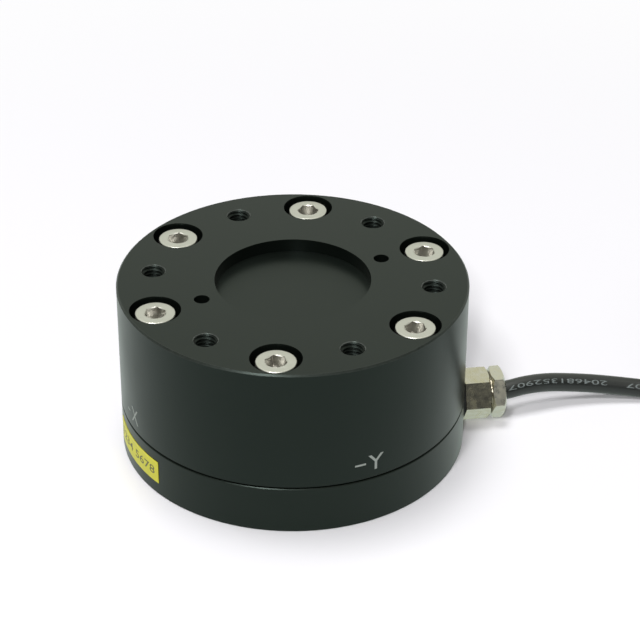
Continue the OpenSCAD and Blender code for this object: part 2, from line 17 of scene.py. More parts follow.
import bmesh
import bpy
import numpy as np
from bpy.types import ID, Material, Node, NodeSocket, NodeTree, Object
from mathutils import Matrix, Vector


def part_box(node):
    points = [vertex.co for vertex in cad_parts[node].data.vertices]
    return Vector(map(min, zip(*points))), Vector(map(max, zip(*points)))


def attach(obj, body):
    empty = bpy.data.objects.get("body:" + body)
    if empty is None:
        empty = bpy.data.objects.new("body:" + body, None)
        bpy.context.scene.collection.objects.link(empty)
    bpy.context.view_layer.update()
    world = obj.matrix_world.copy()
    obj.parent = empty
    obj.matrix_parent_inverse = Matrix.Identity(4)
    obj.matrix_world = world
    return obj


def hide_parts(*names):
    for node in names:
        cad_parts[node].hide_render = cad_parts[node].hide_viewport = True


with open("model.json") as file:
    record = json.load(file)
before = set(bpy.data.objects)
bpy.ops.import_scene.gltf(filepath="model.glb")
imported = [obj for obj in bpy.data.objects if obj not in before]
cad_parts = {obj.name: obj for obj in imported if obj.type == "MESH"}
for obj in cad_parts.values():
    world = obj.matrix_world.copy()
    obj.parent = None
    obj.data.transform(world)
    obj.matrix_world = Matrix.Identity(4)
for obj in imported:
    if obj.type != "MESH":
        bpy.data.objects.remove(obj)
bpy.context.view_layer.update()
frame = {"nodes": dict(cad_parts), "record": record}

Pair = tuple[float, float]
Triple = tuple[float, float, float]
Colour = tuple[float, float, float, float]

LOG = logging.getLogger("force_torque_sensor")
MM = 0.001
UP = np.array([0.0, 0.0, 1.0])
SCREW_HEAD = 5.1 * MM  # radius of a housing screw's head over its knurl
HUB_HEAD = 4.35 * MM  # the same of a hub screw
HOUSING_CHAMFER = 0.4 * MM


# ---- small tools


def linear(hex_colour: str) -> Colour:
    """Turns an sRGB hex colour into the linear colour that shader sockets take.

    Args:
        hex_colour: six hex digits after a hash sign.

    Returns:
        Red, green, blue and an alpha of one.
    """
    parts = (int(hex_colour[i : i + 2], 16) / 255 for i in (1, 3, 5))
    red, green, blue = (c / 12.92 if c <= 0.04045 else ((c + 0.055) / 1.055) ** 2.4 for c in parts)
    return red, green, blue, 1.0


def feed(node: Node, inputs: dict) -> None:
    """Links or sets inputs of a shader node.

    Args:
        node: the node.
        inputs: for each input by its name or number, a value, a hex colour, a socket to link from,
            or a node whose first output is linked.
    """
    for key, value in inputs.items():
        if isinstance(value, Node):
            value = value.outputs[0]
        elif isinstance(value, str):
            value = linear(value)
        if isinstance(value, NodeSocket):
            node.id_data.links.new(value, node.inputs[key])
        else:
            node.inputs[key].default_value = value


def add_node(tree: NodeTree, kind: str, inputs: dict | None = None, **options: object) -> Node:
    """Adds a shader node with its settings and links.

    Sockets that share a name go by number: 0 and 1 for a Math node's values, 0 to 4 for the value,
    its span and the new span of a Map Range, and 0, 6 and 7 for the share and the two colours of a
    Mix of colours, whose output is number 2.

    Args:
        tree: the node tree that gets the node.
        kind: the node's Blender type name.
        inputs: for each input by its name or number, a value, a hex colour, a socket to link from,
            or a node whose first output is linked.
        options: the node's own settings.

    Returns:
        The new node.
    """
    made = tree.nodes.new(kind)
    for name, value in options.items():
        setattr(made, name, value)
    feed(made, inputs or {})
    return made


def spread(noise: Node, low: float, high: float) -> dict:
    """Gives the inputs of a Map Range that spreads a noise, mostly 0.3 to 0.7, from low to high."""
    return {0: noise, 1: 0.3, 2: 0.7, 3: low, 4: high}


def from_axis(add: Callable, place: NodeSocket, count: int, radius: float, first: float) -> NodeSocket:
    """Works out how far each point is, in plan, from the nearest of the axes that stand on a circle.

    Each point is turned back round Z by whole steps into the first axis's sector, where its distance
    from that axis is what its distance was from its own.

    Args:
        add: adds a node to the material.
        place: the socket with Object coordinates.
        count: the number of axes, evenly spaced.
        radius: the circle's radius.
        first: the first axis's angle, in radians.

    Returns:
        A socket with a length in metres.
    """
    step = 2 * math.pi / count
    split = add("ShaderNodeSeparateXYZ", {0: place})
    angle = add("ShaderNodeMath", {0: split.outputs["Y"], 1: split.outputs["X"]}, operation="ARCTAN2")
    turns = add("ShaderNodeMath", {0: angle, 1: 1 / step, 2: -first / step}, operation="MULTIPLY_ADD")
    whole = add("ShaderNodeMath", {0: turns}, operation="ROUND")
    back = add("ShaderNodeMath", {0: whole, 1: -step}, operation="MULTIPLY")
    turned = add("ShaderNodeVectorRotate", {"Vector": place, "Angle": back}, rotation_type="Z_AXIS")
    flat = add("ShaderNodeVectorMath", {0: turned, 1: (1.0, 1.0, 0.0)}, operation="MULTIPLY")
    axis = (radius * math.cos(first), radius * math.sin(first), 0.0)
    away = add("ShaderNodeVectorMath", {0: flat, 1: axis}, operation="DISTANCE")
    return away.outputs["Value"]


def ray_kinds(add: Callable) -> tuple[NodeSocket, NodeSocket]:
    """Tells which rays meet a surface.

    Args:
        add: adds a node to the surface's tree.

    Returns:
        A socket that is one for rays from the camera, and one that is one for mirrored and
        refracted rays.
    """
    rays = add("ShaderNodeLightPath")
    mirrored = add(
        "ShaderNodeMath",
        {0: rays.outputs["Is Glossy Ray"], 1: rays.outputs["Is Transmission Ray"]},
        operation="MAXIMUM",
    )
    return rays.outputs["Is Camera Ray"], mirrored.outputs[0]


def new_material(name: str) -> tuple[Material, Callable, Node]:
    """Makes a material that holds a Principled BSDF alone.

    Args:
        name: the finish's name.

    Returns:
        The material, add_node for its tree, and its Principled BSDF.
    """
    material = bpy.data.materials.new(name)
    material.use_nodes = True
    tree = material.node_tree
    return material, partial(add_node, tree), tree.nodes["Principled BSDF"]


def unit(vectors: np.ndarray) -> np.ndarray:
    """Scales each vector in an array to length one."""
    return vectors / np.linalg.norm(vectors, axis=-1, keepdims=True)


def to_scene(name: str, data: ID) -> Object:
    """Makes an object of its data and links it to the scene.

    Args:
        name: the object's name.
        data: a mesh, text, camera or light.

    Returns:
        The object, at the origin.
    """
    made = bpy.data.objects.new(name, data)
    bpy.context.scene.collection.objects.link(made)
    return made


def stand(made: Object, place: tuple, right: np.ndarray, up: np.ndarray, back: np.ndarray) -> None:
    """Stands a camera or lamp at a place.

    Args:
        made: the object.
        place: where it stands.
        right: the direction of its own X axis.
        up: the direction of its own Y axis.
        back: the direction of its own Z axis, away from what it faces.
    """
    turn = Matrix([[right[i], up[i], back[i]] for i in range(3)]).to_4x4()
    made.matrix_world = Matrix.Translation(place) @ turn


def grid_mesh(
    name: str,
    points: np.ndarray,
    closed_rows: bool = False,
    closed_columns: bool = True,
    capped: bool = False,
    uv: np.ndarray | None = None,
) -> Object:
    """Makes a mesh of a grid of points: each cell between two rows and two columns is one quad.

    Args:
        name: the piece's name.
        points: rows by columns by three coordinates.
        closed_rows: the last row joins the first.
        closed_columns: the last column joins the first.
        capped: the first and last row are each closed by one face.
        uv: (rows + 1) by (columns + 1) by two texture coordinates, or None.

    Returns:
        The new object, at the origin, with smooth faces.
    """
    rows, columns = points.shape[:2]
    row, column = np.meshgrid(
        np.arange(rows if closed_rows else rows - 1),
        np.arange(columns if closed_columns else columns - 1),
        indexing="ij",
    )
    row, column = row.ravel(), column.ravel()
    corners = [(row, column), (row + 1, column), (row + 1, column + 1), (row, column + 1)]
    quads = np.stack([(r % rows) * columns + c % columns for r, c in corners], axis=1)
    faces = quads.tolist()
    if capped:
        ring = np.arange(columns)
        faces += [ring.tolist(), ((rows - 1) * columns + ring[::-1]).tolist()]
    mesh = bpy.data.meshes.new(name)
    mesh.from_pydata(points.reshape(-1, 3), [], faces)
    if uv is not None:
        layer = mesh.uv_layers.new(name="metres")
        flat = np.zeros((len(mesh.loops), 2), np.float32)
        flat[: 4 * len(quads)] = np.stack([uv[r, c] for r, c in corners], axis=1).reshape(-1, 2)
        layer.data.foreach_set("uv", flat.ravel())
    mesh.polygons.foreach_set("use_smooth", np.ones(len(mesh.polygons), bool))
    mesh.update()
    return to_scene(name, mesh)


def smooth_path(knots: np.ndarray, spacing: float) -> np.ndarray:
    """Runs a smooth line through given points.

    Between two knots the line is a cubic that leaves each with the mean direction of its neighbours,
    each weighted by the length of the other stretch.

    Args:
        knots: the points, in order.
        spacing: the wanted distance between the line's points.

    Returns:
        Points along the line.
    """
    steps = np.linalg.norm(np.diff(knots, axis=0), axis=1)
    along = np.concatenate([[0.0], np.cumsum(steps)])
    slopes = np.diff(knots, axis=0) / steps[:, None]
    before, after = steps[:-1, None], steps[1:, None]
    middle = (slopes[:-1] * after + slopes[1:] * before) / (before + after)
    tangents = np.concatenate([slopes[:1], middle, slopes[-1:]])
    s = np.linspace(0, along[-1], int(along[-1] / spacing) + 1)
    i = np.clip(np.searchsorted(along, s, side="right") - 1, 0, len(steps) - 1)
    h = steps[i][:, None]
    t = ((s - along[i]) / steps[i])[:, None]
    return (
        knots[i] * (1 + 2 * t) * (1 - t) ** 2
        + tangents[i] * h * t * (1 - t) ** 2
        + knots[i + 1] * t**2 * (3 - 2 * t)
        + tangents[i + 1] * h * t**2 * (t - 1)
    )


def path_frames(path: np.ndarray) -> tuple[np.ndarray, np.ndarray, np.ndarray]:
    """Works out a moving frame along a path that is never upright.

    Args:
        path: the path's points.

    Returns:
        At each point, the direction along the path, the level direction to its left, and the
        direction square to both, which leans up.
    """
    along = unit(np.gradient(path, axis=0))
    left = unit(np.cross(UP, along))
    return along, left, np.cross(along, left)


def wear(piece: Object, material: Material) -> Object:
    """Gives a piece one material in place of any that it has.

    Args:
        piece: the piece.
        material: the material.

    Returns:
        The piece.
    """
    piece.data.materials.clear()
    piece.data.materials.append(material)
    return piece


# ---- finishes


@dataclass(frozen=True)
class AnodisedAluminium:
    """Turned aluminium, dyed dark in its oxide layer.

    The oxide is a clear, faintly rough skin over a black dye, so it looks near black where it is
    seen square on and turns pale at a grazing angle, as a non-metal does. The metal under it lends
    what it mirrors a green cast. Fine turning marks lie under it too. Paler lines run along the
    outer edge of a face and round the mouths of the tapped holes: partly oxide thinned by handling,
    partly a painted highlight that stands in for the glint on the chamfers and countersinks.
    outer edge of a face and round the mouths of the tapped holes, which leaves paler lines.
    """

    name: str
    colour: str = "#090c0a"
    mottle: str = "#0e120f"
    # pale colour mixed in along the edges and round the hole mouths: wear and painted highlight
    worn_and_glint: str = "#c3c8c2"
    roughness: float = 0.31
    specular: float = 0.22
    cast: str = "#e6fff4"
    mark_pitch: float = 0.5 * MM  # real marks are a quarter of this, too fine to show
    grain: float = 0.35 * MM
    edge_sum: float = 1.0  # radius plus height on the chamfer with the pale line; one metre is nowhere on the part
    # share of pale colour along the outer edge: wear and painted highlight
    edge_wear_and_glint: float = 0.03
    edge_band: Pair = (0.17 * MM, 0.04 * MM)  # below edge_sum, the pale line of wear and painted highlight starts and is full
    hole_count: int = 6
    hole_circle: float = 36 * MM  # radius of the circle that the tapped holes stand on
    hole_mouth: float = 3.1 * MM  # radius in the middle of a hole's countersink
    # share of pale colour round a hole's mouth: wear and painted highlight
    mouth_glint_and_wear: float = 0.14
    mouth_band: Pair = (0.07 * MM, 0.12 * MM)  # off hole_mouth, the pale ring of wear and painted highlight is full and ends
    cloud: float = 14 * MM  # size of the clouds in the dye
    patch: float = 0.9 * MM  # size of the patches in the pale lines of wear and painted highlight
    relief: float = 0.004 * MM

    def wear_and_glint_share(self, add: Callable, place: NodeSocket, across: NodeSocket) -> NodeSocket:
        """Works out where the pale colour of wear and painted highlight shows: edge and hole mouths.

        Args:
            add: adds a node to the material.
            place: the socket with Object coordinates.
            across: the socket with the radius plus the height.

        Returns:
            A socket with the share of pale colour, wear and painted highlight, that shows.
        """
        starts, full = (self.edge_sum - gap for gap in self.edge_band)
        near_edge = add("ShaderNodeMapRange", {0: across, 1: starts, 2: full, 3: 0.0, 4: self.edge_wear_and_glint})
        first = math.pi / self.hole_count
        away = from_axis(add, place, self.hole_count, self.hole_circle, first)
        beyond = add("ShaderNodeMath", {0: away, 1: self.hole_mouth}, operation="SUBTRACT")
        off_mouth = add("ShaderNodeMath", {0: beyond}, operation="ABSOLUTE")
        full, ends = self.mouth_band
        near_mouth = add("ShaderNodeMapRange", {0: off_mouth, 1: full, 2: ends, 3: self.mouth_glint_and_wear, 4: 0.0})
        thin = add("ShaderNodeMath", {0: near_edge, 1: near_mouth}, operation="MAXIMUM")
        noise = add("ShaderNodeTexNoise", {"Vector": place, "Scale": 1 / self.patch, "Detail": 3.0})
        patchy = add("ShaderNodeMapRange", spread(noise, 0.5, 1.0))
        share = add("ShaderNodeMath", {0: thin, 1: patchy}, operation="MULTIPLY")
        return share.outputs[0]

    def build(self) -> Material:
        """Makes the material.

        Turning marks run at a constant radius on a face and at a constant height on a wall, so one
        value, the radius plus the height, crosses the marks on both. The same value is highest on
        the chamfer between a top face and a wall, where the pale line of wear and painted highlight is.

        Returns:
            The material.
        """
        material, add, shader = new_material(self.name)
        place = add("ShaderNodeTexCoord").outputs["Object"]
        split = add("ShaderNodeSeparateXYZ", {0: place})
        level = add("ShaderNodeCombineXYZ", {"X": split.outputs["X"], "Y": split.outputs["Y"]})
        radius = add("ShaderNodeVectorMath", {0: level}, operation="LENGTH")
        across = add("ShaderNodeMath", {0: radius.outputs["Value"], 1: split.outputs["Z"]})
        marks = add(
            "ShaderNodeTexNoise",
            {"W": across, "Scale": 1 / self.mark_pitch, "Detail": 2.0},
            noise_dimensions="1D",
        )
        grain, cloud = (
            add("ShaderNodeTexNoise", {"Vector": place, "Scale": 1 / size, "Detail": 3.0})
            for size in (self.grain, self.cloud)
        )
        dye = add("ShaderNodeMix", {0: cloud, 6: self.colour, 7: self.mottle}, data_type="RGBA")
        # pale colour along the edges and round the hole mouths: wear and painted highlight
        worn_and_glint = self.wear_and_glint_share(add, place, across)
        shade = add("ShaderNodeMix", {0: worn_and_glint, 6: dye.outputs[2], 7: self.worn_and_glint}, data_type="RGBA")
        gloss = add("ShaderNodeMapRange", spread(cloud, self.roughness - 0.02, self.roughness + 0.03))
        relief = add("ShaderNodeMath", {0: marks, 1: grain})
        bump = add("ShaderNodeBump", {"Strength": 0.35, "Distance": self.relief, "Height": relief})
        feed(shader, {
            "Base Color": shade.outputs[2],
            "Roughness": gloss,
            "Normal": bump,
            "Specular IOR Level": self.specular,
            "Specular Tint": self.cast,
        })
        return material


class Marks(Enum):
    """How a machined metal was worked, which sets the way its fine marks run."""

    TURNED = "turned"
    MILLED = "milled"
    DRAWN = "drawn"


@dataclass(frozen=True)
class MachinedMetal:
    """Bare or plated metal with fine tool marks, bright where it mirrors the studio."""

    name: str
    colour: str
    roughness: float = 0.28
    marks: Marks = Marks.TURNED
    mark_pitch: float = 0.3 * MM
    circle_radius: float = 0.0  # radius of the circle that the turned pieces stand on
    circle_count: int = 1
    tint: str = ""  # colour that shows through in patches, where the surface is worn or heated
    smear: float = 1.6 * MM  # size of the patches of tint and of rougher surface
    relief: float = 0.006 * MM

    def across(self, add: Callable, place: NodeSocket) -> NodeSocket:
        """Works out the value that crosses the tool marks.

        On turned pieces it is the distance from the piece's own axis, on the others a length along
        one direction.

        Args:
            add: adds a node to the material.
            place: the socket with Object coordinates.

        Returns:
            A socket with a length in metres.
        """
        if self.marks is Marks.TURNED:
            return from_axis(add, place, self.circle_count, self.circle_radius, 0.0)
        tilt = (0.0, 0.0, 1.0) if self.marks is Marks.DRAWN else (0.8, 0.6, 0.0)
        along = add("ShaderNodeVectorMath", {0: place, 1: tilt}, operation="DOT_PRODUCT")
        return along.outputs["Value"]

    def build(self) -> Material:
        """Makes the material.

        Returns:
            The material.
        """
        material, add, shader = new_material(self.name)
        place = add("ShaderNodeTexCoord").outputs["Object"]
        marks = add(
            "ShaderNodeTexNoise",
            {"W": self.across(add, place), "Scale": 1 / self.mark_pitch, "Detail": 1.0},
            noise_dimensions="1D",
        )
        smear = add("ShaderNodeTexNoise", {"Vector": place, "Scale": 1 / self.smear, "Detail": 3.0})
        gloss = add("ShaderNodeMapRange", spread(smear, self.roughness - 0.05, self.roughness + 0.07))
        bump = add("ShaderNodeBump", {"Strength": 0.5, "Distance": self.relief, "Height": marks})
        shade = add(
            "ShaderNodeMix", {0: smear, 6: self.colour, 7: self.tint or self.colour}, data_type="RGBA"
        )
        feed(shader, {"Base Color": shade.outputs[2], "Roughness": gloss, "Normal": bump, "Metallic": 1.0})
        return material


@dataclass(frozen=True)
class MouldedPolymer:
    """Moulded or extruded polymer: one colour with a soft sheen and a fine pebbled grain."""

    name: str
    colour: str
    roughness: float = 0.5
    grain: float = 0.3 * MM
    relief: float = 0.01 * MM
    cloud: float = 6 * MM  # size of the paler and darker clouds

    def build(self) -> Material:
        """Makes the material.

        Returns:
            The material.
        """
        material, add, shader = new_material(self.name)
        place = add("ShaderNodeTexCoord").outputs["Object"]
        grain = add("ShaderNodeTexNoise", {"Vector": place, "Scale": 1 / self.grain, "Detail": 3.0})
        cloud = add("ShaderNodeTexNoise", {"Vector": place, "Scale": 1 / self.cloud, "Detail": 2.0})
        value = add("ShaderNodeMapRange", spread(cloud, 0.92, 1.08))
        shade = add("ShaderNodeHueSaturation", {"Color": self.colour, "Value": value})
        gloss = add("ShaderNodeMapRange", spread(cloud, self.roughness - 0.04, self.roughness + 0.05))
        bump = add("ShaderNodeBump", {"Strength": 0.5, "Distance": self.relief, "Height": grain})
        feed(shader, {"Base Color": shade, "Roughness": gloss, "Normal": bump})
        return material


@dataclass(frozen=True)
class CableJacket:
    """Extruded cable jacket: dark satin polymer with faint draw lines along it.

    Its pattern follows the cable by the piece's own map, whose first value is the length along the
    cable and whose second is the way round it, both in metres.
    """

    name: str
    colour: str = "#0c0f0e"
    pale: str = "#131614"
    roughness: float = 0.42
    line_length: float = 9 * MM
    line_width: float = 0.45 * MM
    blotch: float = 5 * MM
    relief: float = 0.012 * MM

    def build(self) -> Material:
        """Makes the material.

        Returns:
            The material.
        """
        material, add, shader = new_material(self.name)
        place = add("ShaderNodeTexCoord").outputs["UV"]
        shrink = (1 / self.line_length, 1 / self.line_width, 1.0)
        stretched = add("ShaderNodeMapping", {"Vector": place, "Scale": shrink})
        draw = add("ShaderNodeTexNoise", {"Vector": stretched, "Scale": 1.0, "Detail": 3.0})
        blotch = add("ShaderNodeTexNoise", {"Vector": place, "Scale": 1 / self.blotch, "Detail": 3.0})
        shade = add("ShaderNodeMix", {0: blotch, 6: self.colour, 7: self.pale}, data_type="RGBA")
        gloss = add("ShaderNodeMapRange", spread(blotch, self.roughness - 0.05, self.roughness + 0.06))
        bump = add("ShaderNodeBump", {"Strength": 0.5, "Distance": self.relief, "Height": draw})
        feed(shader, {"Base Color": shade.outputs[2], "Roughness": gloss, "Normal": bump})
        return material


@dataclass(frozen=True)
class WovenStrap:
    """Hook and loop strap: a close weave of dark nylon with a soft nap."""

    name: str
    colour: str = "#1d1e20"
    pale: str = "#34363a"
    thread: float = 0.6 * MM
    roughness: float = 0.85
    nap: float = 0.3
    relief: float = 0.1 * MM

    def build(self) -> Material:
        """Makes the material: two sets of threads, across and upright, woven as a product of waves.

        Returns:
            The material.
        """
        material, add, shader = new_material(self.name)
        place = add("ShaderNodeTexCoord").outputs["Object"]
        per_thread = 0.314  # a wave texture of this scale has one band per unit of length
        warp, weft = (
            add(
                "ShaderNodeTexWave",
                {"Vector": place, "Scale": per_thread / self.thread, "Distortion": 1.5, "Detail": 2.0},
                bands_direction=direction,
            )
            for direction in ("DIAGONAL", "Z")
        )
        weave = add("ShaderNodeMath", {0: warp.outputs[1], 1: weft.outputs[1]}, operation="MULTIPLY")
        shade = add("ShaderNodeMix", {0: weave, 6: self.colour, 7: self.pale}, data_type="RGBA")
        bump = add("ShaderNodeBump", {"Strength": 0.8, "Distance": self.relief, "Height": weave})
        feed(shader, {
            "Base Color": shade.outputs[2],
            "Normal": bump,
            "Roughness": self.roughness,
            "Sheen Weight": self.nap,
        })
        return material


@dataclass(frozen=True)
class BoardLaminate:
    """Glass-fibre laminate under green solder mask, with tinned tracks that show through it."""

    name: str = "board_laminate"
    mask: str = "#14503a"
    track: str = "#2f7a55"
    cell: float = 2.4 * MM
    border: Pair = (0.42, 0.47)  # how far out in a cell a track starts and is full
    roughness: float = 0.3
    relief: float = 0.03 * MM

    def build(self) -> Material:
        """Makes the material: cell borders of a coarse cell pattern read as tracks under the mask.

        Returns:
            The material.
        """
        material, add, shader = new_material(self.name)
        place = add("ShaderNodeTexCoord").outputs["Object"]
        cells = add(
            "ShaderNodeTexVoronoi",
            {"Vector": place, "Scale": 1 / self.cell, "Randomness": 0.35},
            distance="CHEBYCHEV",
            feature="F1",
        )
        starts, full = self.border
        tracks = add("ShaderNodeMapRange", {0: cells, 1: starts, 2: full, 3: 0.0, 4: 1.0})
        shade = add("ShaderNodeMix", {0: tracks, 6: self.mask, 7: self.track}, data_type="RGBA")
        bump = add("ShaderNodeBump", {"Strength": 0.5, "Distance": self.relief, "Height": tracks})
        feed(shader, {"Base Color": shade.outputs[2], "Normal": bump, "Roughness": self.roughness})
        return material


@dataclass(frozen=True)
class Finishes:
    """The finishes of the sensor, each made once and kept by the names of the nodes that wear it."""

    screw_circle: float  # radius of the circle that the housing screws stand on
    hub_circle: float
    edge_sum: float  # radius plus height on the housing's upper chamfer

    def by_node(self) -> dict[str, Material]:
        """Makes every finish.

        Returns:
            The material of each CAD node, and that of the cut threads.
        """
        rubber = MouldedPolymer("seal_rubber", "#161616", 0.6)
        jacket = CableJacket("cable_jacket")
        plate = MachinedMetal("nickel_plate", "#c2bebb", 0.23, Marks.MILLED, 0.5 * MM, tint="#aea683")
        nut = MachinedMetal("nickel_nut", "#bebeba", 0.3, Marks.MILLED, 0.5 * MM, tint="#b8b09a")
        plug = MachinedMetal("nickel_connector", "#c6c5bf", 0.24, Marks.DRAWN, 0.4 * MM, tint="#b9b7ad")
        worn_by = {
            "housing": AnodisedAluminium("anodised_housing", edge_sum=self.edge_sum),
            "base_flange": AnodisedAluminium("anodised_base", "#0a0d0a", "#0f120f"),
            "elastic_element": MachinedMetal("milled_aluminium", "#c3c5c8", 0.3, Marks.MILLED),
            "strain_gauges": MouldedPolymer("gauge_film", "#c08b4c", 0.35),
            "gauge_leads": MouldedPolymer("polyimide_film", "#b9692a", 0.3),
            "signal_board": BoardLaminate(),
            "board_chips": MouldedPolymer("chip_epoxy", "#1b1c1e", 0.55, relief=0.02 * MM),
            "board_terminal": MouldedPolymer("terminal_nylon", "#dedacb", 0.45),
            "board_standoffs": MachinedMetal("standoff_brass", "#c4a25e", 0.3, Marks.DRAWN),
            "board_screws": MachinedMetal("board_screw_steel", "#c2c3c2", 0.3, Marks.DRAWN),
            "housing_screws": MachinedMetal(
                "stainless_screw", "#bab8b2", 0.34, circle_radius=self.screw_circle, circle_count=6
            ),
            "hub_screws": MachinedMetal(
                "zinc_screw", "#b9bcc0", 0.34, circle_radius=self.hub_circle, circle_count=6
            ),
            "hub_pins": MachinedMetal("ground_pin_steel", "#b0b2b4", 0.2, Marks.DRAWN),
            "dust_seal": rubber,
            "label": MouldedPolymer("label_film", "#c6c119", 0.45, 0.2 * MM, 0.004 * MM),
            "gland_gasket": rubber,
            "gland_body": plate,
            "gland_claw": MouldedPolymer("claw_nylon", "#dcd9cd", 0.45),
            "gland_grommet": rubber,
            "gland_nut": nut,
            "cable_stub": MouldedPolymer("stub_jacket", "#0c0f0e", 0.42),
            "cable_lead": jacket,
            "cable_coil": jacket,
            "cable_tail": jacket,
            "coil_tie": WovenStrap("tie_strap"),
            "connector_relief": MouldedPolymer("relief_rubber", "#1c1d1f", 0.55),
            "connector_cap": plug,
            "connector_body": plug,
            "connector_grip": plug,
            "connector_insert": MouldedPolymer("insert_plastic", "#202225", 0.4),
            "connector_contacts": MachinedMetal("contact_gold", "#dcb465", 0.2, Marks.DRAWN),
            # a darker dye than the housing's: painted shade inside the tapped holes
            "threads": AnodisedAluminium(
                "anodised_thread_painted_shade", "#060706", "#090a09", roughness=0.4, specular=0.24, mouth_glint_and_wear=0.0
            ),
        }
        made = {finish: finish.build() for finish in dict.fromkeys(worn_by.values())}
        return {node: made[finish] for node, finish in worn_by.items()}


# ---- cable


@dataclass(frozen=True)
class Lead:
    """The sensor's cable: out of the gland, down to the floor, into a coil and on to its connector."""

    diameter: float = 5 * MM
    gland_angle: float = -16.0  # degrees from +X
    gland_height: float = 6.8 * MM
    exit_radius: float = 55.25 * MM  # the end of the gland's neck, inside the nut's flared mouth
    lead_route: tuple[Triple, ...] = (
        (0.05531, -0.01573, 0.00694), (0.0604, -0.01615, 0.0072), (0.0644, -0.01655, 0.0071),
        (0.0688, -0.01705, 0.00655), (0.0734, -0.0180, 0.00585), (0.0782, -0.0193, 0.0051),
        (0.0834, -0.0211, 0.0043), (0.0890, -0.0234, 0.00345), (0.0946, -0.0261, 0.00275),
        (0.1002, -0.0291, 0.0025), (0.1054, -0.0321, 0.0025), (0.1100, -0.03484, 0.0025),
    )
    tail_route: tuple[Triple, ...] = (
        (0.1072, -0.0292, 0.0158), (0.1115, -0.0383, 0.0134), (0.1181, -0.0456, 0.0106),
        (0.1266, -0.0510, 0.0076), (0.1363, -0.0540, 0.0048), (0.1464, -0.0545, 0.0031),
        (0.1562, -0.0523, 0.0025), (0.1653, -0.0479, 0.0025), (0.1726, -0.0422, 0.0025),
        (0.1787, -0.0354, 0.0026), (0.1834, -0.0276, 0.0031), (0.1862, -0.0192, 0.0048),
        (0.1873, -0.0108, 0.0066), (0.1875, -0.0040, 0.0073), (0.1875, 0.0080, 0.0073),
    )
    coil_centre: Pair = (0.143, -0.016)
    coil_outer: float = 33.0 * MM  # radius of the outermost turn's centreline
    coil_inner: float = 19.6 * MM
    coil_floor: float = 3.1 * MM  # height of the lowest layer's centreline
    layers: int = 4
    layer_pitch: float = 5 * MM
    coil_start: float = -121.0  # degrees from +X
    layer_sweep: float = 972.25  # degrees of winding in one layer
    early_end: float = 28.0  # degrees before the last layer's end where the cable leaves the coil
    climb_sweep: float = 120.0  # degrees over which the cable climbs to the next layer
    tip_rounding: float = 0.998  # a little below one, so that the radius turns back gently
    points_per_turn: int = 30
    spacing: float = 1.2 * MM
    sides: int = 24

    def exit(self) -> np.ndarray:
        """The point at the end of the gland's neck where the cable comes out."""
        a = math.radians(self.gland_angle)
        return np.array([self.exit_radius * math.cos(a), self.exit_radius * math.sin(a), self.gland_height])

    def coil(self) -> np.ndarray:
        """Winds the coil.

        The angle grows evenly. The radius goes from the outermost turn to the innermost in one layer
        and back in the next, as a triangle wave with rounded tips. The height climbs one pitch, over
        the climb's sweep, where a layer ends.

        Returns:
            Points along the coil's centreline.
        """
        total = self.layers * self.layer_sweep - self.early_end
        angle = np.linspace(0, total, int(total / 360 * self.points_per_turn) + 1)
        wave = np.arccos(self.tip_rounding * np.cos(np.pi * angle / self.layer_sweep)) / np.pi
        radius = self.coil_outer - (self.coil_outer - self.coil_inner) * wave
        ends = self.layer_sweep * np.arange(1, self.layers)
        climb = np.clip((angle[:, None] - ends) / self.climb_sweep + 0.5, 0, 1)
        height = self.coil_floor + self.layer_pitch * (climb**2 * (3 - 2 * climb)).sum(axis=1)
        turn = np.radians(self.coil_start + angle)
        return np.stack(
            [
                self.coil_centre[0] + radius * np.cos(turn),
                self.coil_centre[1] + radius * np.sin(turn),
                height,
            ],
            axis=1,
        )

    def centreline(self) -> np.ndarray:
        """Joins the gland, the lead, the coil and the tail into one smooth line above the floor.

        Returns:
            Points along the cable, from the gland to the connector.
        """
        knots = np.concatenate(
            [self.exit()[None], np.array(self.lead_route), self.coil(), np.array(self.tail_route)]
        )
        path = smooth_path(knots, self.spacing)
        path[:, 2] = np.maximum(path[:, 2], self.diameter / 2)
        return path

    def build(self, jacket: Material) -> tuple[Object, np.ndarray]:
        """Sweeps the jacket: a circle of the cable's radius, square to the centreline at each point.

        Args:
            jacket: the cable's material.

        Returns:
            The cable and its centreline.
        """
        path = self.centreline()
        _, left, over = path_frames(path)
        turn = np.linspace(0, 2 * np.pi, self.sides, endpoint=False)
        radius = self.diameter / 2
        skin = path[:, None] + radius * (
            left[:, None] * np.cos(turn)[None, :, None] + over[:, None] * np.sin(turn)[None, :, None]
        )
        along = np.arange(len(path)) * self.spacing
        around = np.linspace(0, 2 * np.pi * radius, self.sides + 1)
        uv = np.stack(np.meshgrid(along, around, indexing="ij"), axis=-1)
        cable = grid_mesh("cable", skin, capped=True, uv=uv)
        return wear(cable, jacket), path


# ---- threads, marks


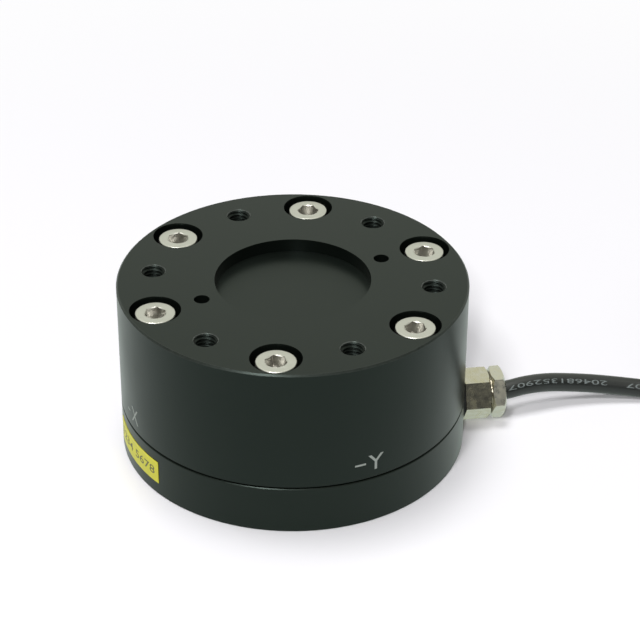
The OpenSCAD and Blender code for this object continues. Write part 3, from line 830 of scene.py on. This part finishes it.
@dataclass(frozen=True)
class TappedHoles:
    """The cut threads in the tapped holes of one face."""

    name: str
    face_height: float
    opens_up: bool
    circle_radius: float
    depth: float
    count: int = 6
    major_radius: float = 3.0 * MM
    pitch: float = 1.0 * MM
    chamfer: float = 0.2 * MM  # how far below the face the solid's own countersink ends
    thread_depth: float = 0.6134  # as a share of the pitch
    flat: float = 0.125  # how much of each flank's rise is cut off flat, at the crest and the root
    back_gap: float = 0.001 * MM  # keeps the ring's back off the hole's own wall
    samples_per_pitch: int = 10
    columns: int = 40

    def thread(self) -> np.ndarray:
        """Works out one hole's thread, as a closed ring round the hole's axis.

        The thread's radius is the major radius less a saw of two 30 degree flanks that moves one
        pitch down for each turn. Near the mouth a 45 degree countersink keeps it wider. The ring's
        back is a plain wall at the major radius.

        Returns:
            Rows by columns of points, with the mouth at height zero and the hole below it.
        """
        height = np.arange(self.chamfer, self.depth, self.pitch / self.samples_per_pitch)[:, None]
        turn = np.linspace(0, 2 * np.pi, self.columns, endpoint=False)[None, :]
        phase = (height / self.pitch + turn / (2 * np.pi)) % 1.0
        flank = 1 - np.abs(2 * phase - 1)
        rise = np.clip(flank * (1 + 2 * self.flat) - self.flat, 0, 1)
        groove = rise * self.thread_depth * self.pitch
        countersink = self.major_radius + self.chamfer - height
        radius = np.maximum(self.major_radius - groove, np.minimum(countersink, self.major_radius))
        back = np.full((2, self.columns), self.major_radius - self.back_gap)
        radius = np.concatenate([radius, back])
        height = np.concatenate([height, height[-1:], height[:1]])
        return np.stack(
            [radius * np.cos(turn), radius * np.sin(turn), np.broadcast_to(-height, radius.shape)], axis=-1
        )

    def build(self, finish: Material) -> list[Object]:
        """Places a thread in each hole.

        Args:
            finish: the material of the wall that the threads are cut in.

        Returns:
            One piece per hole.
        """
        ring = self.thread()
        if not self.opens_up:
            ring = ring * np.array([1.0, -1.0, -1.0])
        made = []
        for i in range(self.count):
            a = 2 * math.pi * (i + 0.5) / self.count
            x, y = self.circle_radius * math.cos(a), self.circle_radius * math.sin(a)
            centre = np.array([x, y, self.face_height])
            piece = grid_mesh(f"{self.name}_{i + 1}", ring + centre, closed_rows=True)
            made.append(wear(piece, finish))
        return made


@dataclass(frozen=True)
class Inscription:
    """Plain characters, a few hundredths of a millimetre thick, printed on a curved surface."""

    name: str
    text: str
    width: float
    height: float
    boldness: float = 0.0  # how far each stroke is widened, as a share of the letters' height
    thickness: float = 0.02 * MM
    facet: float = 0.4 * MM  # the strokes are cut this short, so that they follow a round surface

    def flat(self) -> tuple[np.ndarray, list[list[int]]]:
        """Sets the characters on a plane and stretches them to the wanted width and height.

        Returns:
            Points whose first value runs along the text from its left end, whose second runs from
            its foot to its head and whose third is its thickness, and the faces between them.
        """
        curve = bpy.data.curves.new(self.name, "FONT")
        curve.body = self.text
        curve.extrude = 0.5  # any thickness does here, since it is scaled below
        curve.resolution_u = 3
        curve.offset = self.boldness
        holder = to_scene(self.name, curve)
        bpy.context.view_layer.update()
        mesh = holder.evaluated_get(bpy.context.evaluated_depsgraph_get()).to_mesh()
        cut = bmesh.new()
        cut.from_mesh(mesh)
        bpy.data.objects.remove(holder)
        bpy.data.curves.remove(curve)
        corners = np.array([vertex.co[:] for vertex in cut.verts])
        low, high = corners.min(axis=0), corners.max(axis=0)
        for axis, size in ((0, self.width), (1, self.height)):
            count = math.ceil(size / self.facet)
            for i in range(1, count):
                place = low + (high - low) * i / count
                bmesh.ops.bisect_plane(
                    cut,
                    geom=cut.verts[:] + cut.edges[:] + cut.faces[:],
                    plane_co=place,
                    plane_no=[float(k == axis) for k in range(3)],
                )
        cut.verts.index_update()
        points = np.array([vertex.co[:] for vertex in cut.verts])
        faces = [[vertex.index for vertex in face.verts] for face in cut.faces]
        cut.free()
        share = (points - low) / (high - low)
        return share * np.array([self.width, self.height, self.thickness]), faces

    def make(self, points: np.ndarray, faces: list[list[int]], ink: Material) -> Object:
        """Makes the piece from its points in place.

        Args:
            points: the characters' points on the object.
            faces: the faces between them.
            ink: the material.

        Returns:
            The piece.
        """
        mesh = bpy.data.meshes.new(self.name)
        mesh.from_pydata(points, [], faces)
        mesh.update()
        return wear(to_scene(self.name, mesh), ink)

    def round_body(self, radius: float, left_angle: float, foot: float, ink: Material) -> Object:
        """Prints on an upright cylinder: along the text is an angle, up the text is a height.

        Args:
            radius: the cylinder's radius.
            left_angle: the angle of the text's left end, in degrees.
            foot: the height of the text's foot.
            ink: the material.

        Returns:
            The piece.
        """
        flat, faces = self.flat()
        angle = math.radians(left_angle) + flat[:, 0] / radius
        out = radius + flat[:, 2]
        points = np.stack([out * np.cos(angle), out * np.sin(angle), foot + flat[:, 1]], axis=1)
        return self.make(points, faces, ink)

    def along_cable(
        self, path: np.ndarray, radius: float, start: float, lean: float, ink: Material
    ) -> Object:
        """Prints along a cable, with the foot of the text upwards.

        Each point keeps its distance along the centreline and turns round it by its height in the
        text over the cable's radius.

        Args:
            path: the cable's centreline.
            radius: the cable's radius.
            start: the distance along the cable at which the text's right end lies.
            lean: the angle above level at which the middle of the text faces out, in degrees.
            ink: the material.

        Returns:
            The piece.
        """
        flat, faces = self.flat()
        along = np.concatenate([[0.0], np.cumsum(np.linalg.norm(np.diff(path, axis=0), axis=1))])
        where = start + self.width - flat[:, 0]
        _, left, over = path_frames(path)
        spots = [
            np.stack([np.interp(where, along, line[:, k]) for k in range(3)], axis=1)
            for line in (path, left, over)
        ]
        turn = math.radians(lean) - (flat[:, 1] - self.height / 2) / radius
        out = (radius + flat[:, 2])[:, None]
        points = spots[0] + out * (spots[2] * np.sin(turn)[:, None] - spots[1] * np.cos(turn)[:, None])
        return self.make(points, faces, ink)


# ---- studio


@dataclass(frozen=True)
class Studio:
    """A white floor, lit from beside the camera and from above, in a room that is dark in front.

    What the camera sees of the floor turns plain white away from the object, so that the backdrop
    is white from all sides and the object's shadow stays. What metal mirrors of the floor and of
    the room has a faint green cast.
    """

    camera_place: Triple = (-0.193427, -0.440286, 0.334801)
    camera_right: Triple = (0.910849, -0.412711, 0.004805)
    camera_up: Triple = (0.215133, 0.484668, 0.847829)
    lens: float = 123.65
    sensor_width: float = 36.0
    nearest: float = 0.01  # what is nearer to the camera than this isn't drawn
    away: Triple = (0.4154, 0.9096, 0.0)  # the level direction the camera looks in
    dim: float = 0.07  # strength of the room in front of the object
    bright: float = 1.05  # strength of the room behind the object
    behind: Pair = (-0.25, 0.3)  # along away, where the room starts and ends to brighten
    ceiling: float = 0.75  # strength of the ceiling
    overhead: Pair = (0.35, 0.8)  # how far up the ceiling starts and is full
    fill: float = 0.1  # strength of the room's light on matt surfaces
    room_colour: Colour = (0.93, 0.98, 0.86, 1.0)
    floor_half: float = 3.0
    floor_drop: float = 0.02 * MM  # keeps the floor off the underside
    floor_colour: str = "#f0eff2"
    floor_lift: float = 0.02  # share of plain white in the floor close to the object
    shadow_reach: float = 0.12  # distance from the origin where the floor starts to turn white
    white_from: float = 0.4  # distance from which the floor is plain white
    mirror_lift: float = 0.65  # share of plain light in the mirrored floor
    mirror_colour: Colour = (0.97, 1.13, 1.03, 1.0)

    def camera(self) -> None:
        """Makes the camera from the directions of its right and its up."""
        right, up = (unit(np.array(v)) for v in (self.camera_right, self.camera_up))
        back = unit(np.cross(right, up))
        up = np.cross(back, right)
        data = bpy.data.cameras.new("camera")
        data.lens = self.lens
        data.sensor_width = self.sensor_width
        data.clip_start = self.nearest
        camera = to_scene("camera", data)
        stand(camera, self.camera_place, right, up, back)
        bpy.context.scene.camera = camera

    def floor(self) -> None:
        """Lays the floor: matt white that turns plain white away from the object, and pale in mirrors."""
        half, z = self.floor_half, -self.floor_drop
        corners = np.array([[[x, y, z] for x in (-half, half)] for y in (-half, half)])
        floor = grid_mesh("floor", corners, closed_columns=False)
        material, add, shader = new_material("floor_white")
        feed(shader, {"Base Color": self.floor_colour, "Roughness": 1.0, "Specular IOR Level": 0.0})
        seen, mirrored = ray_kinds(add)
        place = add("ShaderNodeTexCoord").outputs["Object"]
        away = add("ShaderNodeVectorMath", {0: place}, operation="LENGTH").outputs["Value"]
        whiter = add(
            "ShaderNodeMapRange",
            {0: away, 1: self.shadow_reach, 2: self.white_from, 3: self.floor_lift, 4: 1.0},
            interpolation_type="SMOOTHSTEP",
        )
        surface = shader
        for ray, lift, colour in (
            (seen, whiter, (1.0, 1.0, 1.0, 1.0)),
            (mirrored, self.mirror_lift, self.mirror_colour),
        ):
            share = add("ShaderNodeMath", {0: ray, 1: lift}, operation="MULTIPLY")
            glow = add("ShaderNodeEmission", {"Color": colour, "Strength": 1.0})
            surface = add("ShaderNodeMixShader", {0: share, 1: surface, 2: glow})
        feed(material.node_tree.nodes["Material Output"], {"Surface": surface})
        wear(floor, material)

    def room(self) -> None:
        """Sets the world: white to the camera, otherwise bright behind the object and dark in front."""
        world = bpy.data.worlds.new("room")
        bpy.context.scene.world = world
        world.use_nodes = True
        world.node_tree.nodes.clear()
        add = partial(add_node, world.node_tree)
        direction = add("ShaderNodeTexCoord").outputs["Generated"]
        behind = add("ShaderNodeVectorMath", {0: direction, 1: self.away}, operation="DOT_PRODUCT")
        height = add("ShaderNodeSeparateXYZ", {0: direction}).outputs["Z"]
        sweep, ceiling = (
            add(
                "ShaderNodeMapRange",
                {0: value, 1: low, 2: high, 3: self.dim, 4: bright},
                interpolation_type="SMOOTHSTEP",
            )
            for value, (low, high), bright in (
                (behind.outputs["Value"], self.behind, self.bright),
                (height, self.overhead, self.ceiling),
            )
        )
        level = add("ShaderNodeMath", {0: sweep, 1: ceiling}, operation="MAXIMUM")
        seen, mirrored = ray_kinds(add)
        plain = (1.0, 1.0, 1.0, 1.0)
        surface, room, white = (
            add("ShaderNodeBackground", {"Color": colour, "Strength": strength})
            for colour, strength in ((plain, self.fill), (self.room_colour, level), (plain, 1.0))
        )
        for ray, backdrop in ((mirrored, room), (seen, white)):
            surface = add("ShaderNodeMixShader", {0: ray, 1: surface, 2: backdrop})
        add("ShaderNodeOutputWorld", {"Surface": surface})

    def lamp(self, name: str, place: Triple, target: Triple, size: float, power: float) -> None:
        """Hangs a square soft lamp.

        Args:
            name: the lamp's name.
            place: where it hangs.
            target: the point that it faces.
            size: the length of its sides.
            power: its power in watts.
        """
        data = bpy.data.lights.new(name, "AREA")
        data.size = size
        data.energy = power
        back = unit(np.array(place) - np.array(target))
        side = unit(np.cross([0.0, 1.0, 0.1], back))
        stand(to_scene(name, data), place, side, np.cross(back, side), back)

    def build(self) -> None:
        """Sets up the camera, floor, room, lamps and the plain colour view."""
        self.camera()
        self.floor()
        self.room()
        self.lamp("camera_lamp", (-1.10, -1.794, 1.548), (0.0, 0.0, 0.02), 0.2, 24.0)
        self.lamp("overhead_lamp", (-0.16, 0.40, 3.18), (0.0, 0.0, 0.02), 1.2, 56.0)
        self.lamp("front_left_lamp", (-1.45, -1.30, 2.77), (0.0, 0.0, 0.03), 0.6, 47.0)
        bpy.context.scene.view_settings.view_transform = "Standard"


# ---- main


@dataclass(frozen=True)
class Sensor:
    """The whole sensor: its dressed solids, threads, marks and cable."""

    mark_colour: str = "#8c928c"
    print_colour: str = "#646b6a"
    label_ink: str = "#57562c"
    label_angle: float = -163.0  # where the label's right end is, in degrees from +X
    label_margin: float = 1.5 * MM
    label_film: float = 0.12 * MM  # the film's thickness
    label_print: Pair = (20.6 * MM, 2.4 * MM)  # length and height of its numbers
    cable_print: Pair = (28.6 * MM, 1.25 * MM)
    first_print: float = 2.3 * MM  # from the gland to the first row of numbers on the cable
    print_step: float = 34 * MM  # from one row to the next
    print_lean: float = 41.0  # degrees above level at which the rows face

    def mount(self, name: str) -> dict:
        """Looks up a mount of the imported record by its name."""
        return next(m for m in frame["record"]["mounts"] if m["name"] == name)

    def keep(self, piece: Object) -> None:
        """Lets a new piece ride on the sensor.

        Args:
            piece: the piece.
        """
        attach(piece, "root")
        LOG.info("made %s with %d faces", piece.name, len(piece.data.polygons))

    def cable(self, finish: dict[str, Material]) -> np.ndarray:
        """Args:
            finish: the materials by CAD node.

        Returns:
            The cable's centreline.
        """
        lead = Lead()
        cable, path = lead.build(finish["cable_lead"])
        self.keep(cable)
        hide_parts("cable_lead", "cable_coil", "cable_tail")
        length = float(np.linalg.norm(np.diff(path, axis=0), axis=1).sum())
        LOG.info("the cable is %.3f m long", length)
        return path

    def threads(self, finish: dict[str, Material]) -> None:
        """Cuts the threads of both faces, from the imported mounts.

        Args:
            finish: the materials by CAD node.
        """
        for mount, slot, opens_up, depth in (
            ("tool_bolts", "anodised_dark", True, 11 * MM),
            ("base_bolts", "anodised_base", False, 9 * MM),
        ):
            dims = self.mount(mount)["dims"]
            holes = TappedHoles(
                name=mount,
                face_height=self.mount(mount)["pos_m"][2],
                opens_up=opens_up,
                circle_radius=dims["pcd_mm"] / 2 * MM,
                depth=depth,
                count=dims["count"],
                major_radius=dims["hole_r_mm"] * MM,
            )
            for piece in holes.build(finish["threads"]):
                self.keep(piece)

    def inscriptions(self, path: np.ndarray) -> None:
        """Prints the axis marks, the label's plain numbers and the cable's running numbers.

        Args:
            path: the cable's centreline.
        """
        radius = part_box("housing")[1].x
        mark = MouldedPolymer("engraved_mark", self.mark_colour, 0.6).build()
        per_degree = math.radians(1) * radius
        # The angles of the left and right end in degrees, the heights of foot and letter in mm.
        for name, text, start, end, foot, height in (
            ("mark_minus_y_sign", "-", -93.96, -90.3, 17.72, 0.52),
            ("mark_minus_y", "Y", -89.45, -84.1, 15.75, 4.45),
            ("mark_minus_x_sign", "-", -183.1, -180.9, 17.6, 0.5),
            ("mark_minus_x", "X", -179.5, -174.6, 15.75, 4.4),
        ):
            sign = Inscription(name, text, (end - start) * per_degree, height * MM)
            self.keep(sign.round_body(radius, start, foot * MM, mark))
        low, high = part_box("label")
        ink = MouldedPolymer("label_ink", self.label_ink, 0.5).build()
        skin = radius + self.label_film
        width, height = self.label_print
        numbers = Inscription("label_numbers", "1234 5678", width, height, boldness=0.004)
        start = self.label_angle - math.degrees((width + self.label_margin) / skin)
        self.keep(numbers.round_body(skin, start, (low.z + high.z - height) / 2, ink))
        white = MouldedPolymer("print_ink", self.print_colour, 0.6).build()
        for i in range(2):
            run = Inscription(f"cable_numbers_{i + 1}", "204681352907", *self.cable_print, boldness=0.002)
            start = self.first_print + i * self.print_step
            self.keep(run.along_cable(path, Lead.diameter / 2, start, self.print_lean, white))

    def dress(self, finish: dict[str, Material]) -> None:
        """Gives each CAD node its finish.

        Args:
            finish: the materials by CAD node.
        """
        for name, node in frame["nodes"].items():
            wear(node, finish[name])
            LOG.info("dressed %s in %s", name, finish[name].name)


def main() -> None:
    """Builds the studio, the cable and the rest of the sensor in order."""
    logging.basicConfig(level=logging.INFO, format="%(name)s: %(message)s")
    sensor = Sensor()
    Studio().build()
    screw_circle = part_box("housing_screws")[1].x - SCREW_HEAD
    hub_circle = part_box("hub_screws")[1].x - HUB_HEAD
    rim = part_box("housing")[1]
    finish = Finishes(screw_circle, hub_circle, rim.x + rim.z - HOUSING_CHAMFER).by_node()
    path = sensor.cable(finish)
    sensor.dress(finish)
    sensor.threads(finish)
    sensor.inscriptions(path)


if __name__ == "__main__":
    main()
